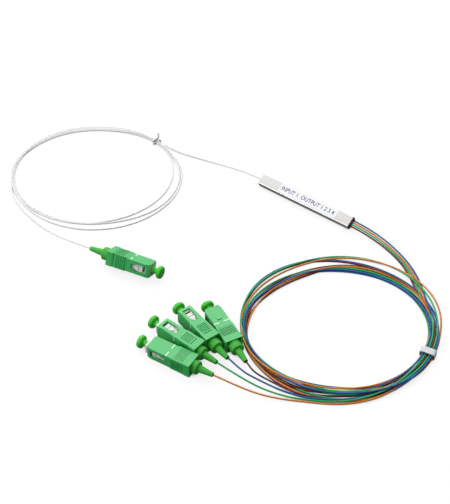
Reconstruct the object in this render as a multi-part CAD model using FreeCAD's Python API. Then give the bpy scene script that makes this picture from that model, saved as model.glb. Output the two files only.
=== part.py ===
import FreeCAD, Part
import math
import os

# 1x4 planar lightwave splitter: a steel tube module, one input cord and four output cords,
# each ending in a push-pull connector with its dust cap on. All sizes are in millimetres.
#
# Frame of the whole part: +X runs along the steel tube from its input end to its output end,
# +Z is up, and the origin lies under the middle of the tube, on the surface it rests on.
#
# Frame of a connector: +x runs along its axis towards the ferrule tip, y is across its wide
# faces, z across its narrow ones. x = 0 is the rear of the housing when it is fully forward.

os.makedirs("parts", exist_ok=True)

V = FreeCAD.Vector
along_x = V(1, 0, 0)
upward = V(0, 0, 1)

# ---------------------------------------------------------------- fits
slide_gap = 0.10          # pieces that guide each other as they slide
clear_gap = 0.20          # pieces that pass each other without guiding
seat_gap = 0.02           # pieces pressed, snapped or glued together

# ---------------------------------------------------------------- cords
cord_diameter = 0.9
cord_bore = cord_diameter + slide_gap  # hole that a cord passes through
fibre_diameter = 0.25
cord_lead_out = 8.0       # a cord leaves its boot straight for about a fifth of this
cord_plug_out = 5.5       # the same at the module's end plugs

# ---------------------------------------------------------------- push-pull housing
housing_length = 25.0
housing_width = 9.0
housing_height = 7.4
side_wall = 0.7           # wall of the narrow faces
face_wall = 0.6           # wall of the wide faces
edge_round = 0.35
nose_length = 2.4         # slanted corners of the nose, seen from above
nose_inset = 0.65
nose_round = 0.4          # the nose's front corners, seen from above
nose_blend = 4.0          # where its slants begin
rim_length = 3.2
rim_proud_side = 0.3      # how far the rim stands out past the sides and past the faces
rim_proud_face = 0.4
grip_end = 11.0
grip_ramp = 0.7
grip_proud_side = 0.2
grip_proud_face = 0.25
lip_length = 1.9          # narrowed mouth at the front
groove_count = 6
face_groove_start = 4.3   # grooves across the wide faces
face_groove_pitch = 0.9
face_groove_width = 0.4
face_groove_depth = 0.25
face_groove_margin = 0.8  # a groove stops this far short of the grip's edges
side_groove_start = 5.2   # grooves across the narrow faces
side_groove_pitch = 0.95
side_groove_width = 0.5
side_groove_depth = 0.3
side_groove_margin = 1.25
slot_start = 3.7          # single slot behind the side grooves
slot_width = 0.6
slot_margin = 1.55
slot_depth = 0.4
rib_groove_count = 5      # the input's sides have open grooves from face to face instead
rib_groove_start = 5.7
rib_groove_pitch = 1.2
rib_groove_width = 0.55
rib_slot_width = 1.3
window_from_nose = 8.6    # T-shaped window that shows the latch
window_margin = 1.7       # wall above and below it
window_tail_length = 2.1
window_tail_step = 0.7
key_from_nose = 9.4
key_length = 4.6
key_width = 2.4
housing_travel = 1.6      # how far the housing slides back on the plug frame
travel_slack = 0.1

# ---------------------------------------------------------------- plug frame inside the housing
frame_rear = 6.0
frame_side_room = 0.55    # room beside the frame, taken up by its latch features
frame_chamfer = 0.6
mouth_depth = 6.0
mouth_side_wall = 0.65
mouth_face_wall = 0.5
mouth_round = 0.5
bulkhead = 1.0            # wall that the ferrule passes through
spring_play = 0.3         # room round the spring in the chamber behind it
snap_start = 7.2          # windows that hold the stop ring
snap_length = 1.6
snap_width = 2.2
lug_start = 9.6           # lugs that stop the housing's travel
lug_length = 0.8
lug_width = 2.4
lug_height = 0.4
latch_margin = 0.25       # arrow and bars seen through the housing's window
arrow_from_nose = 9.7
arrow_length = 3.0
bar_from_nose = 6.3
bar_length = 2.0
hook_slot_from_nose = 4.2 # opening that a socket's hook drops into
hook_slot_length = 1.3
step_from_nose = 2.8
step_length = 1.4
step_sink = 0.35

# ---------------------------------------------------------------- ferrule, flange and spring
ferrule_diameter = 2.5
ferrule_overhang = 0.5    # tip beyond the front of the frame
ferrule_seat = 3.0        # length held in the flange
tip_angle = 8.0
tip_chamfer = 0.5
flange_thickness = 1.5
flange_notch = 0.6
seat_wall = 0.18          # of the flange's sleeve, round the ferrule's end
sleeve_from_frame_rear = 2.9
sleeve_bore = 1.1
ferrule_float = 1.5       # how far the ferrule is pushed back when connectors mate
spring_wire = 0.4
spring_turns = 3.5

# ---------------------------------------------------------------- stop ring and boot
stop_rim_diameter = 5.7
stop_rim_thickness = 1.0
stop_plug_length = 4.4
stop_tail_diameter = 4.0
stop_tail_length = 5.5
stop_core_bore = 1.4
rim_wall = 0.5            # of the housing's rim, round the boot's collar
boot_collar_front = 2.0
boot_collar_length = 6.4
boot_shoulder_round = 0.7
boot_tail_length = 8.0
boot_tail_root = 3.5
boot_tail_tip = 2.0
boot_tip_bevel = 0.3

# ---------------------------------------------------------------- dust cap
cap_stem_from_nose = 4.0
cap_grip_gap = 0.04       # friction fit on the ferrule
cap_bore_depth = 5.2
cap_neck_start = 0.6      # all four measured from the front of the frame
cap_neck_narrow = 1.4
cap_neck_end = 2.9
cap_end = 5.9
cap_neck_diameter = 3.3
cap_knob_diameter = 7.0
cap_knob_dish = 0.5
cap_knob_round = 0.75

# ---------------------------------------------------------------- steel tube module
tube_length = 60.0
tube_width = 7.0
tube_height = 4.0
tube_wall = 0.3
tube_round = 0.6
tube_roll = 25.0          # the tube lies turned about its length, propped by its cords
plug_depth = 4.0
output_plug_proud = 0.5
output_count = 4
output_spacing = 0.3      # wall between the output cords
chip_length = 12.0
chip_width = 2.6
chip_thickness = 1.0
lid_length = 9.0
input_array_length = 5.0
output_array_length = 7.0
array_width = 2.5
array_height = 2.0
bed_length = 22.0
bed_width = 4.2
core_gap = 0.05           # glue joints between the chip and the arrays
fan_start = 6.0           # bare fibres fan out this far before the output plug

# ---------------------------------------------------------------- where the connectors lie
connectors = {
    "in": dict(at=(-57.0, -99.9), heading=11.3, roll=156.4, slid=0.2),
    "out1": dict(at=(24.9, -133.4), heading=185.6, roll=180.0, slid=1.4),
    "out2": dict(at=(21.8, -124.7), heading=176.8, roll=90.0, slid=1.4),
    "out3": dict(at=(23.5, -116.3), heading=163.5, roll=90.0, slid=0.0),
    "out4": dict(at=(32.4, -110.4), heading=154.2, roll=0.0, slid=0.0),
}

# ---------------------------------------------------------------- coils
coil_points = 40
input_coil = dict(centre=(-109.8, -52.2), radius=44.6, squash=2.7, squash_heading=29.0,
                  width=4.0, height=2.7, tie_heading=78.0, tie_width=3.0,
                  swells=[(-8.0, 75.0, 4.0)])
output_coil = dict(centre=(66.6, -65.8), radius=46.7, squash=1.6, squash_heading=50.0,
                   width=5.4, height=3.5, tie_heading=14.0, tie_width=5.6,
                   swells=[(122.0, 62.0, 7.0), (-57.0, 45.0, 6.0)])
tie_sides = 1.2           # a coil is narrow over this many band widths beside its tie
input_tie = dict(band=1.8, thickness=0.4, tail=5.0)
output_tie = dict(band=3.2, thickness=0.5, tail=0.0)
tail_width = 1.0

# Free stretches of each cord, as the points of its route from where it has left the boot or the
# end plug to where it lies in its coil. The output routes on the module's side run from the far
# cord to the near one, those on the connectors' side from output 1 to output 4.
input_module_route = [(-47, -0.4, 2.1), (-59, -1.9, 0.9), (-71, -4.3, 0.5), (-83, -7.1, 0.5),
                      (-95.5, -8.8, 0.7)]
input_connector_route = [(-92, -103.6, 2.4), (-104, -102.4, 0.8), (-115.5, -100.2, 0.5),
                         (-126, -97.4, 0.5), (-134.6, -93.4, 0.5), (-141.6, -87.6, 0.5)]
output_module_routes = [
    [(48.5, 1.0, 2.5), (60.5, -1.7, 1.3), (72, -7.0, 0.6), (82.5, -14.2, 0.5), (91.5, -22.8, 0.5)],
    [(48.0, -0.1, 2.1), (59.6, -2.8, 1.0), (70.7, -8.0, 0.6), (80.8, -15.1, 0.5), (89.5, -23.6, 0.5)],
    [(47.5, -1.2, 1.8), (58.7, -3.9, 0.8), (69.4, -9.0, 0.6), (79.1, -16.0, 0.5), (87.5, -24.4, 0.5)],
    [(47.0, -2.3, 1.4), (57.8, -5.0, 0.7), (68.1, -10.0, 0.6), (77.4, -16.9, 0.5), (85.5, -25.2, 0.5)],
]
output_connector_routes = [
    [(58.5, -128.0, 1.7), (70.8, -123.6, 0.5), (82.0, -117.4, 0.5), (92.0, -110.0, 0.5)],
    [(55.0, -124.9, 1.8), (66.6, -121.2, 0.5), (77.2, -116.6, 0.5), (86.6, -110.6, 0.5)],
    [(55.0, -123.0, 1.6), (65.6, -119.9, 0.5), (75.4, -115.4, 0.5), (83.8, -109.6, 0.5)],
    [(57.2, -120.4, 1.3), (66.0, -117.6, 0.5), (74.2, -113.6, 0.5), (81.4, -108.6, 0.5)],
]

# ---------------------------------------------------------------- sizes that follow
output_pitch = cord_diameter + output_spacing
rim_width = housing_width + 2 * rim_proud_side
rim_height = housing_height + 2 * rim_proud_face
grip_width = housing_width + 2 * grip_proud_side
grip_height = housing_height + 2 * grip_proud_face
face_groove_reach = grip_width - 2 * face_groove_margin
side_groove_reach = grip_height - 2 * side_groove_margin
slot_reach = grip_height - 2 * slot_margin
window_height = housing_height - 2 * window_margin
window_tail_height = window_height - 2 * window_tail_step
latch_height = window_height - 2 * latch_margin
housing_bore_width = housing_width - 2 * side_wall
housing_bore_height = housing_height - 2 * face_wall
frame_width = housing_bore_width - 2 * frame_side_room
frame_height = housing_bore_height - 2 * clear_gap
latch_reach = housing_bore_width / 2 - slide_gap
mouth_width = frame_width - 2 * mouth_side_wall
mouth_height = frame_height - 2 * mouth_face_wall
sleeve_diameter = ferrule_diameter + 2 * seat_gap + 2 * seat_wall
spring_inside = sleeve_diameter + 2 * clear_gap
spring_room = spring_inside + 2 * spring_wire + 2 * spring_play
flange_diameter = spring_room - 2 * clear_gap
boot_collar_diameter = rim_height - clear_gap - 2 * rim_wall
bulkhead_front = housing_length - mouth_depth
bulkhead_rear = bulkhead_front - bulkhead
flange_front = bulkhead_rear - slide_gap
flange_rear = flange_front - flange_thickness
sleeve_rear = frame_rear + sleeve_from_frame_rear
stop_core_start = sleeve_rear - ferrule_float - 2 * clear_gap
stop_front = frame_rear + stop_plug_length
boot_rear = boot_collar_front - boot_collar_length
boot_tip = boot_rear - boot_tail_length
cord_start = frame_rear - stop_tail_length
cord_straight = boot_tip - cord_lead_out


def block(x0, x1, width, height, corner=0.0, y=0.0, z=0.0):
    # a bar along x about the line (y, z), with its four long edges rounded
    bar = Part.makeBox(x1 - x0, width, height, V(x0, y - width / 2, z - height / 2))
    if corner == 0.0:
        return bar
    long_edges = [e for e in bar.Edges if abs(e.tangentAt(e.FirstParameter).x) > 0.99]
    return bar.makeFillet(corner, long_edges)


def section(x, width, height, corner):
    # rounded rectangle across the axis
    bar = block(x, x + 1, width, height, corner)
    return min(bar.Faces, key=lambda face: face.CenterOfMass.x).OuterWire


def rod(x0, x1, diameter, y=0.0, z=0.0):
    return Part.makeCylinder(diameter / 2, x1 - x0, V(x0, y, z), along_x)


def turned(outline):
    # solid turned about the x axis from its (x, diameter) corners
    corners = [V(x, diameter / 2, 0) for x, diameter in outline]
    return Part.Face(Part.makePolygon(corners + corners[:1])).revolve(V(), along_x, 360)


def slab(outline, low, high):
    # flat plate from its (x, y) corners
    corners = [V(x, y, low) for x, y in outline]
    return Part.Face(Part.makePolygon(corners + corners[:1])).extrude(V(0, 0, high - low))


def on_side(shape):
    # a piece drawn flat, stood up so that its y becomes z and its height becomes y
    return shape.rotate(V(), along_x, 90)


def both(shape, normal):
    # the shape and its mirror image, as two tools for one cut or join
    return [shape, shape.mirror(V(), normal)]


def rounded_at(shape, x, diameter, radius):
    # round the circle of this diameter in the plane at x
    found = [e for e in shape.Edges
             if isinstance(e.Curve, Part.Circle)
             and abs(e.Curve.Center.x - x) < 1e-6
             and abs(2 * e.Curve.Radius - diameter) < 1e-6]
    return shape.makeFillet(radius, found)


# ---------------------------------------------------------------- connector pieces

def housing_outside():
    half = housing_width / 2
    nose = housing_length - nose_length
    plan = [(0, -half), (nose, -half), (housing_length, nose_inset - half),
            (housing_length, half - nose_inset), (nose, half), (0, half)]
    body = slab(plan, -housing_height / 2, housing_height / 2)
    upright = [e for e in body.Edges if abs(e.tangentAt(e.FirstParameter).z) > 0.99]
    body = body.makeFillet(nose_round, [e for e in upright if e.CenterOfMass.x > nose + nose_inset])
    upright = [e for e in body.Edges if abs(e.CenterOfMass.x - nose) < 0.01 and len(e.Vertexes) == 2]
    upright = [e for e in upright if abs(e.tangentAt(e.FirstParameter).z) > 0.99]
    body = body.makeFillet(nose_blend, upright)
    body = body.common(block(0, housing_length, housing_width, housing_height, edge_round))
    grip = block(0, grip_end, grip_width, grip_height, edge_round)
    ramp = Part.makeLoft([section(grip_end, grip_width, grip_height, edge_round),
                          section(grip_end + grip_ramp, housing_width, housing_height, edge_round)],
                         True)
    rim = block(0, rim_length, rim_width, rim_height, edge_round)
    key_rear = housing_length - key_from_nose
    key_side = [(key_rear, housing_height / 2 - face_wall / 2), (key_rear, rim_height / 2),
                (key_rear + key_length, housing_height / 2 - face_wall / 2)]
    key = on_side(slab(key_side, -key_width / 2, key_width / 2))
    return body.fuse([grip, ramp, rim, key]).removeSplitter()


def side_cut(x, width, depth, reach):
    return both(block(x, x + width, 2 * depth, reach, y=grip_width / 2), V(0, 1, 0))


def housing_grooves(ribbed):
    tools = []
    for i in range(groove_count):
        x = face_groove_start + i * face_groove_pitch
        cut = block(x, x + face_groove_width, face_groove_reach, 2 * face_groove_depth,
                    z=grip_height / 2)
        tools += both(cut, upward)
    if ribbed:
        for i in range(rib_groove_count):
            tools += side_cut(rib_groove_start + i * rib_groove_pitch, rib_groove_width,
                              side_groove_depth, 2 * grip_height)
        return tools + side_cut(slot_start, rib_slot_width, side_groove_depth, 2 * grip_height)
    for i in range(groove_count):
        tools += side_cut(side_groove_start + i * side_groove_pitch, side_groove_width,
                          side_groove_depth, side_groove_reach)
    return tools + side_cut(slot_start, slot_width, slot_depth, slot_reach)


def make_housing(ribbed):
    lip_rear = housing_length - lip_length
    lip_width = 2 * (latch_reach - step_sink + slide_gap)
    bore = block(rim_length, lip_rear, housing_bore_width, housing_bore_height, edge_round)
    lip = block(lip_rear - 1, housing_length + 1, lip_width, housing_bore_height, edge_round)
    boot_room = boot_collar_diameter + clear_gap
    boot_hole = block(-1, boot_collar_front + housing_travel + clear_gap, boot_room, boot_room, edge_round)
    window = housing_length - window_from_nose
    windows = [block(window, lip_rear, 2 * rim_width, window_height),
               block(window - window_tail_length, window + 1, 2 * rim_width, window_tail_height)]
    pocket_start = lug_start - travel_slack
    pocket_end = lug_start + lug_length + housing_travel + travel_slack
    pocket = block(pocket_start, pocket_end, lug_width + clear_gap,
                   frame_height + 2 * (lug_height + slide_gap))
    return housing_outside().cut([bore, lip, boot_hole, pocket] + windows + housing_grooves(ribbed))


def latch_side():
    # the arrow and the two bars that a socket's hooks ride over, drawn on the +y side
    root = frame_width / 2 - seat_gap
    arrow = housing_length - arrow_from_nose
    half = latch_height / 2
    outline = [(arrow, -0.2), (arrow + arrow_length * 0.75, -half), (arrow + arrow_length, -half),
               (arrow + arrow_length, half), (arrow + arrow_length * 0.75, half), (arrow, 0.2)]
    wedge = on_side(slab(outline, -latch_reach, -root))
    bar = housing_length - bar_from_nose
    step = housing_length - step_from_nose
    high_bar = block(bar, bar + bar_length, latch_reach - root, latch_height,
                     y=(latch_reach + root) / 2)
    low_reach = latch_reach - step_sink
    low_bar = block(step, step + step_length, low_reach - root, latch_height,
                    y=(low_reach + root) / 2)
    return [wedge, high_bar, low_bar]


def make_frame():
    body = block(frame_rear, housing_length, frame_width, frame_height)
    long_edges = [e for e in body.Edges if abs(e.tangentAt(e.FirstParameter).x) > 0.99]
    body = body.makeChamfer(frame_chamfer, long_edges)
    latches = [tool for piece in latch_side() for tool in both(piece, V(0, 1, 0))]
    lugs = block(lug_start, lug_start + lug_length, lug_width, frame_height + 2 * lug_height)
    body = body.fuse(latches + [lugs])
    mouth = block(bulkhead_front, housing_length + 1, mouth_width, mouth_height, mouth_round)
    passage = rod(bulkhead_rear - 1, bulkhead_front + 1, ferrule_diameter + 2 * clear_gap)
    chamber = rod(frame_rear - 1, bulkhead_rear, spring_room)
    snaps = block(snap_start, snap_start + snap_length, snap_width, 2 * frame_height)
    hook_slot = housing_length - hook_slot_from_nose
    hook_slots = block(hook_slot, hook_slot + hook_slot_length, 2 * frame_width, latch_height)
    return body.cut([mouth, passage, chamber, snaps, hook_slots])


def make_ferrule():
    tip = housing_length + ferrule_overhang
    rear = flange_front - ferrule_seat
    blank = turned([(rear, 0), (rear, ferrule_diameter), (tip - tip_chamfer, ferrule_diameter),
                    (tip, ferrule_diameter - 1.4 * tip_chamfer), (tip, 0)])
    polish = Part.makeBox(2, 8, 8, V(tip, -4, -4))
    polish.rotate(V(tip, 0, 0), V(0, 1, 0), tip_angle)
    return blank.cut(polish)


def make_flange():
    seat = ferrule_diameter + 2 * seat_gap
    body = rod(flange_rear, flange_front, flange_diameter)
    body = body.fuse(rod(sleeve_rear, flange_rear, sleeve_diameter))
    bores = [rod(flange_front - ferrule_seat, flange_front + 1, seat),
             rod(sleeve_rear - 1, flange_front, sleeve_bore)]
    notch_y = flange_diameter / 2
    notches = both(block(flange_rear, flange_front, flange_notch, flange_notch, y=notch_y), V(0, 1, 0))
    notches += both(block(flange_rear, flange_front, flange_notch, flange_notch, z=notch_y), upward)
    return body.cut(bores + notches)


def make_spring():
    rear = stop_front + slide_gap
    front = flange_rear - slide_gap
    length = front - rear - spring_wire
    radius = (spring_inside + spring_wire) / 2
    path = Part.makeHelix(length / spring_turns, length, radius)
    half = spring_wire / 2
    corners = [V(radius - half, 0, -half), V(radius + half, 0, -half),
               V(radius + half, 0, half), V(radius - half, 0, half)]
    wire = Part.makePolygon(corners + corners[:1])
    coil = Part.Wire(path).makePipeShell([wire], True, True)
    coil.rotate(V(), V(0, 1, 0), 90)
    return coil.translate(V(rear + half, 0, 0))


def make_stop_ring():
    plug = spring_room - 2 * seat_gap
    body = turned([(cord_start, 0), (cord_start, stop_tail_diameter),
                   (frame_rear - stop_rim_thickness, stop_tail_diameter),
                   (frame_rear - stop_rim_thickness, stop_rim_diameter),
                   (frame_rear, stop_rim_diameter), (frame_rear, plug), (stop_front, plug),
                   (stop_front, 0)])
    snap_gap = 0.1
    snap = block(snap_start + snap_gap, snap_start + snap_length - snap_gap,
                 snap_width - 2 * snap_gap, frame_height - 2 * snap_gap)
    sleeve_room = sleeve_diameter + 2 * slide_gap
    return body.fuse(snap).cut([rod(stop_core_start, stop_front + 1, sleeve_room),
                                rod(cord_start - 1, stop_core_start, stop_core_bore)])


def make_boot():
    body = turned([(boot_tip, 0), (boot_tip, boot_tail_tip - 2 * boot_tip_bevel),
                   (boot_tip + boot_tip_bevel, boot_tail_tip), (boot_rear, boot_tail_root),
                   (boot_rear, boot_collar_diameter), (boot_collar_front, boot_collar_diameter),
                   (boot_collar_front, 0)])
    body = rounded_at(body, boot_rear, boot_collar_diameter, boot_shoulder_round)
    tail_room = rod(cord_start - 0.1, boot_collar_front + 1, stop_tail_diameter + 2 * seat_gap)
    return body.cut([tail_room, rod(boot_tip - 1, boot_collar_front, cord_bore)])


def make_dust_cap():
    stem = min(mouth_width, mouth_height) - 2 * clear_gap
    stem_rear = housing_length - cap_stem_from_nose
    neck_end = housing_length + cap_neck_end
    end = housing_length + cap_end
    rim = neck_end + cap_knob_dish
    face = cap_knob_diameter - cap_knob_round
    body = turned([(stem_rear, 0), (stem_rear, stem), (housing_length + cap_neck_start, stem),
                   (housing_length + cap_neck_narrow, cap_neck_diameter),
                   (neck_end, cap_neck_diameter), (rim, cap_knob_diameter),
                   (end, face), (end, 0)])
    body = rounded_at(body, rim, cap_knob_diameter, cap_knob_round)
    body = rounded_at(body, end, face, cap_knob_round)
    bore = rod(stem_rear - 1, stem_rear + cap_bore_depth, ferrule_diameter + 2 * cap_grip_gap)
    return body.cut(bore)


# ---------------------------------------------------------------- module pieces

def make_tube():
    outside = block(-tube_length / 2, tube_length / 2, tube_width, tube_height, tube_round)
    inside = block(-tube_length, tube_length, tube_width - 2 * tube_wall,
                   tube_height - 2 * tube_wall, tube_round - tube_wall)
    return outside.cut(inside)


def plug_block(x0, x1):
    trim = 2 * (tube_wall + seat_gap)
    return block(x0, x1, tube_width - trim, tube_height - trim, tube_round - tube_wall)


def output_lanes():
    # places of the output cords across the tube, from the far side to the near side
    middle = (output_count - 1) / 2
    return [(middle - i) * output_pitch for i in range(output_count)]


def module_pieces():
    end = tube_length / 2
    plug_inner = end - plug_depth
    cord_inner = end - plug_depth
    input_plug = plug_block(-end, -plug_inner).cut(rod(-end - 1, end, cord_bore))
    output_plug = plug_block(plug_inner, end + output_plug_proud)
    output_plug = output_plug.cut([rod(0, tube_length, cord_bore, y=y) for y in output_lanes()])

    floor = tube_wall + seat_gap - tube_height / 2
    chip_top = array_height / 2 - (array_height - chip_thickness) / 2
    bed_top = chip_top - chip_thickness - seat_gap
    bed = block(-bed_length / 2, bed_length / 2, bed_width, bed_top - floor, z=(bed_top + floor) / 2)
    chip = block(-chip_length / 2, chip_length / 2, chip_width, chip_thickness,
                 z=chip_top - chip_thickness / 2)
    lid = block(-lid_length / 2, lid_length / 2, chip_width, chip_thickness,
                z=chip_top + seat_gap + chip_thickness / 2)
    array_start = chip_length / 2 + core_gap
    array_z = bed_top + seat_gap + array_height / 2
    input_array = block(-array_start - input_array_length, -array_start, array_width, array_height,
                        z=array_z)
    output_array = block(array_start, array_start + output_array_length, array_width, array_height,
                         z=array_z)

    bare_start = -array_start - input_array_length
    input_fibre = rod(-cord_inner, bare_start, fibre_diameter, z=array_z)
    ribbon_start = array_start + output_array_length
    ribbon_end = plug_inner - fan_start
    fibres = []
    for i, y in enumerate(output_lanes()):
        side = (output_lanes()[0] - y) / output_pitch
        near = V(ribbon_start, (1.5 - side) * fibre_diameter * 1.1, array_z)
        fan = V(ribbon_end, near.y, array_z)
        far = V(plug_inner - core_gap, y, 0)
        straight = Part.makeCylinder(fibre_diameter / 2, (fan - near).Length, near, fan - near)
        spread = Part.makeCylinder(fibre_diameter / 2, (far - fan).Length, fan, far - fan)
        joint = Part.makeSphere(fibre_diameter / 2, fan)
        fibres.append(straight.fuse([joint, spread]))
    return {
        "steel_tube": make_tube(),
        "input_end_plug": input_plug,
        "output_end_plug": output_plug,
        "chip_bed": bed,
        "splitter_chip": chip,
        "chip_lid": lid,
        "input_fibre_array": input_array,
        "output_fibre_array": output_array,
        "input_bare_fibre": input_fibre,
        "output_bare_fibres": Part.makeCompound(fibres),
    }


# ---------------------------------------------------------------- placing

def rest_height(width, height, corner, roll):
    # axis height of a rounded bar that lies on its lowest edge
    angle = math.radians(roll)
    across = abs(math.sin(angle)) * (width / 2 - corner)
    up = abs(math.cos(angle)) * (height / 2 - corner)
    return across + up + corner


def module_place():
    height = rest_height(tube_width, tube_height, tube_round, tube_roll)
    return FreeCAD.Placement(V(0, 0, height), FreeCAD.Rotation(along_x, tube_roll))


def connector_place(spot):
    turn = FreeCAD.Rotation(upward, spot["heading"])
    height = rest_height(rim_width, rim_height, edge_round, spot["roll"])
    at = V(spot["at"][0], spot["at"][1], height) + turn.multVec(V(spot["slid"], 0, 0))
    return FreeCAD.Placement(at, turn.multiply(FreeCAD.Rotation(along_x, spot["roll"])))


def placed(shape, place):
    moved = shape.copy()
    moved.Placement = place.multiply(shape.Placement)
    return moved


# ---------------------------------------------------------------- coils, ties and cords

def coil_radius(coil, degrees):
    return coil["radius"] + coil["squash"] * math.cos(2 * math.radians(degrees - coil["squash_heading"]))


def coil_width(coil, degrees, tie):
    # the bundle is drawn in at its tie and swells where its turns lie apart
    width = coil["width"]
    tie_span = math.degrees(tie_sides * 4 * tie["band"] / coil["radius"])
    swells = coil["swells"] + [(coil["tie_heading"], tie_span, coil["tie_width"] - coil["width"])]
    for heading, span, rise in swells:
        away = abs((degrees - heading + 180) % 360 - 180)
        if away < span:
            width += rise * (1 + math.cos(math.pi * away / span)) / 2
    return width


def coil_point(coil, degrees, radius):
    angle = math.radians(degrees)
    return V(coil["centre"][0] + radius * math.cos(angle), coil["centre"][1] + radius * math.sin(angle), 0)


def coil_disc(coil, tie, side):
    points = []
    for i in range(coil_points):
        degrees = 360 * i / coil_points
        radius = coil_radius(coil, degrees) + side * coil_width(coil, degrees, tie) / 2
        points.append(coil_point(coil, degrees, radius))
    points.append(points[0])
    arcs = [Part.Arc(*points[i:i + 3]).toShape() for i in range(0, coil_points, 2)]
    return Part.Face(Part.Wire(arcs)).extrude(V(0, 0, coil["height"]))


def tie_place(coil):
    # x along the bundle, y across it, z up
    at = coil_point(coil, coil["tie_heading"], coil_radius(coil, coil["tie_heading"]))
    return FreeCAD.Placement(at, FreeCAD.Rotation(upward, coil["tie_heading"] - 90))


def tie_loop(coil, tie, grow):
    # bar with the section of the held bundle, grown by this much all round
    width = coil["tie_width"] + 2 * grow
    low = tie["thickness"] - grow
    high = coil["height"] - tie["thickness"] + grow
    corner = 0.45 * min(width, high - low)
    half_band = tie["band"] / 2 + (seat_gap + 1 if grow < 0 else 0)
    return block(-half_band, half_band, width, high - low, corner, z=(high + low) / 2)


def make_tie(coil, tie):
    loop = tie_loop(coil, tie, tie["thickness"]).cut(tie_loop(coil, tie, 0.0))
    if tie["tail"]:
        top = coil["height"] - tie["thickness"] / 2
        tail = Part.makeBox(tail_width, tie["thickness"], tie["tail"],
                            V(-tail_width / 2, coil["tie_width"] / 4, top))
        loop = loop.fuse(tail.makeFillet(tie["thickness"] / 3, tail.Edges))
    return placed(loop, tie_place(coil))


def make_coil(coil, tie):
    # the ring that its turns fill, cut back under the tie to what the loop holds
    ring = coil_disc(coil, tie, 1).cut(coil_disc(coil, tie, -1))
    half_band = tie["band"] / 2 + seat_gap
    reach = 4 * coil["width"]
    waist = block(-half_band, half_band, reach, reach).cut(tie_loop(coil, tie, -seat_gap))
    return ring.cut(placed(waist, tie_place(coil)))


def cord_tube(points, name):
    # a tube along straight runs joined by tangent arcs
    share = 0.45
    edges = []
    radii = []
    here = points[0]
    for before, at, after in zip(points, points[1:], points[2:]):
        into = at - before
        out = after - at
        half_turn = into.getAngle(out) / 2
        reach = share * min(into.Length, out.Length)
        radius = reach / math.tan(half_turn)
        into.normalize()
        out.normalize()
        start = at - into * reach
        end = at + out * reach
        inward = out - into
        inward.normalize()
        middle = at + inward * (radius / math.cos(half_turn) - radius)
        edges += [Part.LineSegment(here, start).toShape(), Part.Arc(start, middle, end).toShape()]
        radii.append(radius)
        here = end
    edges.append(Part.LineSegment(here, points[-1]).toShape())
    path = Part.Wire(edges)
    first = points[1] - points[0]
    circle = Part.Wire(Part.makeCircle(cord_diameter / 2, points[0], first))
    tube = path.makePipeShell([circle], True, False)
    expected = path.Length * math.pi * cord_diameter ** 2 / 4
    print(name, "length", round(path.Length, 1), "radii", [round(r) for r in radii],
          "volume ratio", round(tube.Volume / expected, 4), tube.isValid())
    return tube


def connector_route(spot, free):
    place = connector_place(spot)
    axis = [place.multVec(V(x, 0, 0)) for x in (cord_start + slide_gap, cord_straight)]
    return axis + [V(*point) for point in free]


def module_route(side, lane, free):
    place = module_place()
    inner = side * (tube_length / 2 - plug_depth)
    straight = side * (tube_length / 2 + cord_plug_out)
    return [place.multVec(V(x, lane, 0)) for x in (inner, straight)] + [V(*point) for point in free]


def make_cords():
    cords = {}
    input_pieces = [cord_tube(module_route(-1, 0, input_module_route), "input cord, module"),
                    cord_tube(connector_route(connectors["in"], input_connector_route),
                              "input cord, connector")]
    cords["input_cord"] = Part.makeCompound(input_pieces)
    # output 1 is orange, 2 green, 3 blue, 4 brown; across the tube they lie 3, 1, 2, 4
    lane_of_output = [1, 2, 0, 3]
    for i, lane in enumerate(lane_of_output):
        name = f"output_cord_{i + 1}"
        free = output_module_routes[lane]
        pieces = [cord_tube(module_route(1, output_lanes()[lane], free), name + " module"),
                  cord_tube(connector_route(connectors[f"out{i + 1}"], output_connector_routes[i]),
                            name + " connector")]
        cords[name] = Part.makeCompound(pieces)
    return cords


# ---------------------------------------------------------------- the whole part

def build():
    nodes = {}
    for name, shape in module_pieces().items():
        nodes[name] = placed(shape, module_place())
    pieces = {
        "frame": make_frame(),
        "ferrule": make_ferrule(),
        "ferrule_flange": make_flange(),
        "spring": make_spring(),
        "stop_ring": make_stop_ring(),
        "boot": make_boot(),
        "dust_cap": make_dust_cap(),
    }
    ribbed_housing = make_housing(True)
    plain_housing = make_housing(False)
    for name, spot in connectors.items():
        place = connector_place(spot)
        housing = ribbed_housing if name == "in" else plain_housing
        nodes[f"{name}_housing"] = placed(housing.translated(V(-spot["slid"], 0, 0)), place)
        for piece, shape in pieces.items():
            nodes[f"{name}_{piece}"] = placed(shape, place)
    nodes.update(make_cords())
    nodes["input_coil"] = make_coil(input_coil, input_tie)
    nodes["output_coil"] = make_coil(output_coil, output_tie)
    nodes["input_tie"] = make_tie(input_coil, input_tie)
    nodes["output_tie"] = make_tie(output_coil, output_tie)
    return nodes


for node, solid in build().items():
    if not solid.isValid():
        print("not valid:", node)
    solid.exportStep(f"parts/{node}.step")
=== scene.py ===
import math

import bmesh
import bpy
from mathutils import Matrix, Vector


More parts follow.
